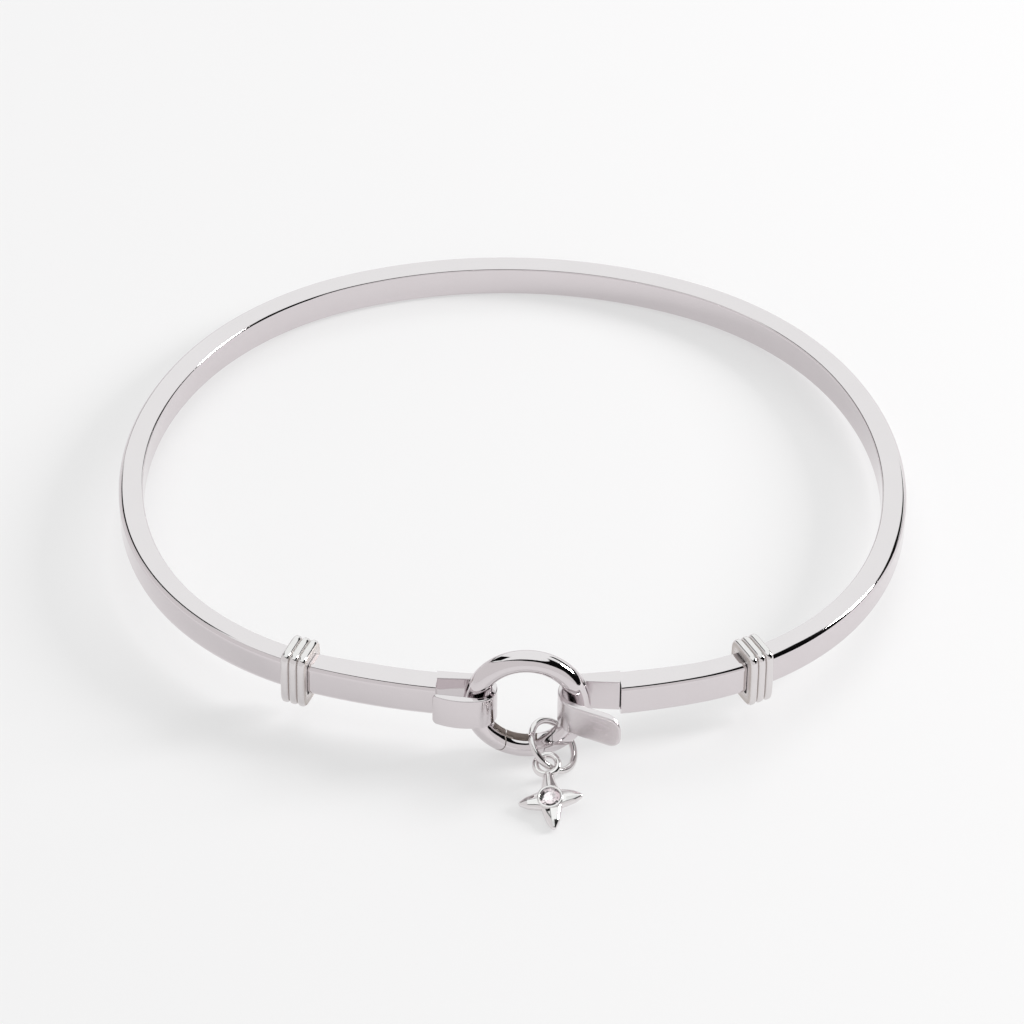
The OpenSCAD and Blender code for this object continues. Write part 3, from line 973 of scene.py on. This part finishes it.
# The stone: a flat table, eight crown mains between sixteen girdle facets, and a pavilion
def makeStone():
    turn = math.pi / 8
    radius = stone["radius"]
    base = seat + stone["seatGap"]
    girdle = base + stone["pavilion"]
    crown = girdle + stone["girdle"]
    rings = ((stone["table"], crown + stone["crown"], 8, turn),
             (radius * stone["crownRing"], crown + stone["crown"] * stone["crownRingShare"], 8, 0),
             (radius, crown, 16, turn / 2),
             (radius, girdle, 16, turn / 2),
             (radius * stone["pavilionRing"], base + stone["pavilionRingRise"], 16, turn / 2),
             (radius * stone["culetRing"], base + stone["culetRingRise"], 8, 0))
    edit = bmesh.new()
    for reach, height, count, start in rings:
        for k in range(count):
            angle = start + 2 * math.pi * k / count
            edit.verts.new((reach * math.cos(angle), reach * math.sin(angle), height))
    edit.verts.new((0, 0, base))
    bmesh.ops.convex_hull(edit, input=edit.verts)
    bmesh.ops.dissolve_limit(edit, angle_limit=0.01, verts=edit.verts, edges=edit.edges)
    bmesh.ops.recalc_face_normals(edit, faces=edit.faces)
    mesh = bpy.data.meshes.new("stone_cut")
    edit.to_mesh(mesh)
    edit.free()
    mesh.materials.append(clearStone)
    mesh.materials.append(foiledBack)
    for face in mesh.polygons:
        face.material_index = 1 if face.center.z < girdle - 0.01 else 0
    mesh.transform(starFrame)
    return newObject("stone_cut", mesh)


# How it lies: the back edge of the band and the foot of the ring touch the floor, which lifts the front.
# The origin is under the middle of the whole.
ringY, ringLean = stripFace - ring["beforeStrip"], math.radians(ring["lean"])
footZ = band["height"] / 2 - ring["radius"] * math.cos(ringLean) - ring["wireRadius"]
footY = ringY - ring["radius"] * math.sin(ringLean)
heelY = planDepth / 2 + band["thickness"] / 2 - band["restEdgeRadius"]
restTilt = math.atan(-footZ / (heelY - footY))
restLift = heelY * math.sin(restTilt) + band["restEdgeRadius"] * (1 - math.cos(restTilt))
backReach = heelY + band["restEdgeRadius"] + band["backMargin"]
frontReach = -star["centre"][1] + star["lowPoint"] * math.cos(math.radians(star["pitch"]))
originY = (backReach - frontReach) / 2

lying = Matrix.Scale(millimetre, 4) @ Matrix.Translation((0, -originY, 0))
resting = lying @ Matrix.Translation((0, 0, restLift)) @ Matrix.Rotation(-restTilt, 4, "X")
ringFrame = (resting @ Matrix.Translation((ring["centreX"], ringY, band["height"] / 2))
             @ rotation(90 - ring["lean"], "X") @ rotation(-90, "Z"))
jumpFrame = (lying @ Matrix.Translation(jumpRing["centre"]) @ rotation(jumpRing["yaw"], "Z")
             @ rotation(jumpRing["lean"], "Y"))
starFrame = (lying @ Matrix.Translation(star["centre"]) @ rotation(star["yaw"], "Z")
             @ rotation(star["pitch"], "X") @ rotation(-star["roll"], "Y"))
bailFrame = starFrame @ Matrix.Translation((0, star["bailUp"], 0))
print("lie: tilted by %.2f degrees, back lifted by %.2f mm" % (math.degrees(restTilt), restLift))


bar = makeBar()
loopEnd = makeLoopEnd().make("band_loop_end", polished, resting)
hookEnd = makeHookEnd().make("band_hook_end", brushed, resting)
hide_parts("band")
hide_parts("band")
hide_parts("band")
print("band: %d faces in the bar" % len(bar.data.polygons))

turns = wrapTree()
leftWrap = makeWrap("wrap_left", turns, wrap["leftAngle"], True)
rightWrap = makeWrap("wrap_right", turns, wrap["rightAngle"], False)
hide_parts("left_wrap")
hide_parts("right_wrap")
print("wraps: two, of %d turns each" % wrap["turns"])

claspRing = makeRingPart("clasp_ring_body", "clasp_ring")
gate = makeRingPart("clasp_gate", "gate")
pin = makePin()
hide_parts("clasp_ring")
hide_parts("gate")
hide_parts("gate_pin")
wires = wireTree()
jump = makeWireRing("jump_ring_wire", wires, jumpRing["radius"], jumpRing["wireRadius"], wireSilver, jumpFrame)
bail = makeWireRing("star_bail", wires, star["bailRadius"], star["bailWire"], castSilver, bailFrame)
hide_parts("jump_ring")
print("rings: clasp ring with its gate, jump ring and bail")

starBody = makeStar()
setting = makeSetting()
for piece in (starBody, setting, bail):
    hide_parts("star")
print("star: %d faces" % len(starBody.data.polygons))

stonePiece = makeStone()
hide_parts("stone")
print("stone: %d facets" % len(stonePiece.data.polygons))

for piece in (bar, loopEnd, hookEnd, leftWrap, rightWrap, claspRing, pin, jump, bail, starBody, setting):
    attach(piece, "bangle")
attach(stonePiece, "bangle")
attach(gate, "gate")


# A pale floor and a soft room. The room is seen in the silver, so its gaps draw the dark lines there.
studio = {
    "floorColour": (0.335, 0.328, 0.331),
    "floorGlow": 0.525,
    "tentColour": (0.99, 1.03, 1.015),
    "frontColour": (1.0, 0.985, 0.985),
    "tentDirection": (0.212, 0.546, 0.811),
    "tent": 1.09,
    "front": 0.8,
    "gap": 0.004,
    "gapLow": 0.2,
    "gapTaper": 0.4,
    "gapHigh": 0.46,
    "gapWiden": 0.15,
    "gapEdge": 0.02,
    "screenAzimuth": 76.0,
    "screenHalfWidth": 0.38,
    "screenTop": 0.86,
    "struts": (((-138, 22), (-116, 50), 9.0), ((143, 24), (113, 12), 9.0)),  # from, to, half width, in degrees
    "sidePower": 2.3,
    "sideSize": (0.11, 0.2),
    "sidePlace": (0.4361, 0.0927, 0.2270),
    "backPower": 0.5,
    "backSize": (0.2, 0.2),
    "backPlace": (0.1154, 0.4307, 0.4015),
}


def makeFloor():
    edit = bmesh.new()
    bmesh.ops.create_grid(edit, x_segments=8, y_segments=8, size=3.0)
    mesh = bpy.data.meshes.new("floor")
    edit.to_mesh(mesh)
    edit.free()
    material, tree = newMaterial("paper_floor")
    closeMaterial(tree, {"Base Color": (*studio["floorColour"], 1), "Roughness": 0.95, "Specular IOR Level": 0.0,
                         "Emission Color": (1.0, 1.0, 1.0, 1), "Emission Strength": studio["floorGlow"]})
    mesh.materials.append(material)
    floor = newObject("floor", mesh)


def heading(azimuth, elevation):
    a, e = math.radians(azimuth), math.radians(elevation)
    return Vector((math.sin(a) * math.cos(e), -math.cos(a) * math.cos(e), math.sin(e)))


# A bright tent over the back, a greyer room in front, a dark gap between them, a dark screen on the right
# and two dark struts. The rounded edges and the ring mirror the dark parts as black lines.
def makeRoom():
    world = bpy.data.worlds.new("room")
    tree = emptyTree(world)
    direction = addNode(tree, "ShaderNodeTexCoord").outputs["Generated"]

    def toward(aim):
        return Term(tree, addNode(tree, "ShaderNodeVectorMath", {"operation": "DOT_PRODUCT"},
                                  {0: direction, 1: Vector(aim).normalized()}).outputs["Value"])

    def step(term):
        return (term * (1 / studio["gapEdge"])).math("MAXIMUM", 0.0).math("MINIMUM", 1.0)

    over = toward(studio["tentDirection"])
    sideways = toward((1.0, 0.0, 0.0))
    low = studio["gapLow"] + (sideways * -studio["gapTaper"]).math("MAXIMUM", 0.0)
    high = studio["gapHigh"] + sideways.math("MAXIMUM", 0.0) * studio["gapWiden"]
    tent = step(over - high)
    front = step(low.math("MINIMUM", high) - over)
    beside = toward(heading(studio["screenAzimuth"] + 90, 0)).math("ABSOLUTE")
    clear = 1 - (step(studio["screenHalfWidth"] - beside) * step(sideways)
                 * step(studio["screenTop"] - toward((0.0, 0.0, 1.0))))
    for start, stop, halfWidth in studio["struts"]:
        start, stop = heading(*start), heading(*stop)
        across = toward(start.cross(stop)).math("ABSOLUTE")
        along = toward(start + stop)
        reach = math.cos(start.angle(stop) / 2 + math.radians(halfWidth))
        clear = clear * (1 - step(math.sin(math.radians(halfWidth)) - across) * step(along - reach))
    light = clear * (studio["tent"] * tent + studio["front"] * (1 - tent) * front) + studio["gap"]
    tint = mixColour(tree, tent, studio["frontColour"], studio["tentColour"])
    background = addNode(tree, "ShaderNodeBackground", None, {"Color": tint, "Strength": light})
    addNode(tree, "ShaderNodeOutputWorld", None, {"Surface": background.outputs[0]})
    bpy.context.scene.world = world


def makeLamp(name, place, power, size):
    lamp = bpy.data.lights.new(name, "AREA")
    lamp.energy = power
    lamp.shape = "RECTANGLE"
    lamp.size, lamp.size_y = size
    holder = newObject(name, lamp)
    holder.location = place
    holder.rotation_euler = Vector(place).to_track_quat("Z", "Y").to_euler()
    return holder


# The photograph's view
view = {
    "lens": 190.72,
    "sensorWidth": 36.0,
    "place": (5.708, -338.232, 326.199),
    "right": (0.99962559, 0.025725, 0.00932193),
    "up": (-0.02450213, 0.68995694, 0.7234356),
}


def makeCamera():
    lens = bpy.data.cameras.new("photo_view")
    lens.lens = view["lens"]
    lens.sensor_width = view["sensorWidth"]
    lens.clip_start = 0.01
    lens.dof.use_dof = False
    camera = newObject("photo_view", lens)
    right, up = Vector(view["right"]), Vector(view["up"])
    facing = Matrix((right, up, right.cross(up))).transposed().to_4x4()
    camera.matrix_world = Matrix.Translation(Vector(view["place"]) * millimetre) @ facing
    bpy.context.scene.camera = camera


makeFloor()
makeRoom()
makeLamp("side_window", studio["sidePlace"], studio["sidePower"], studio["sideSize"])
backWindow = makeLamp("back_window", studio["backPlace"], studio["backPower"], studio["backSize"])
backWindow.visible_glossy = False  # it lights the floor and isn't seen in the silver
makeCamera()
bpy.context.scene.view_settings.view_transform = "Standard"
print("studio: floor, room, two windows and camera")
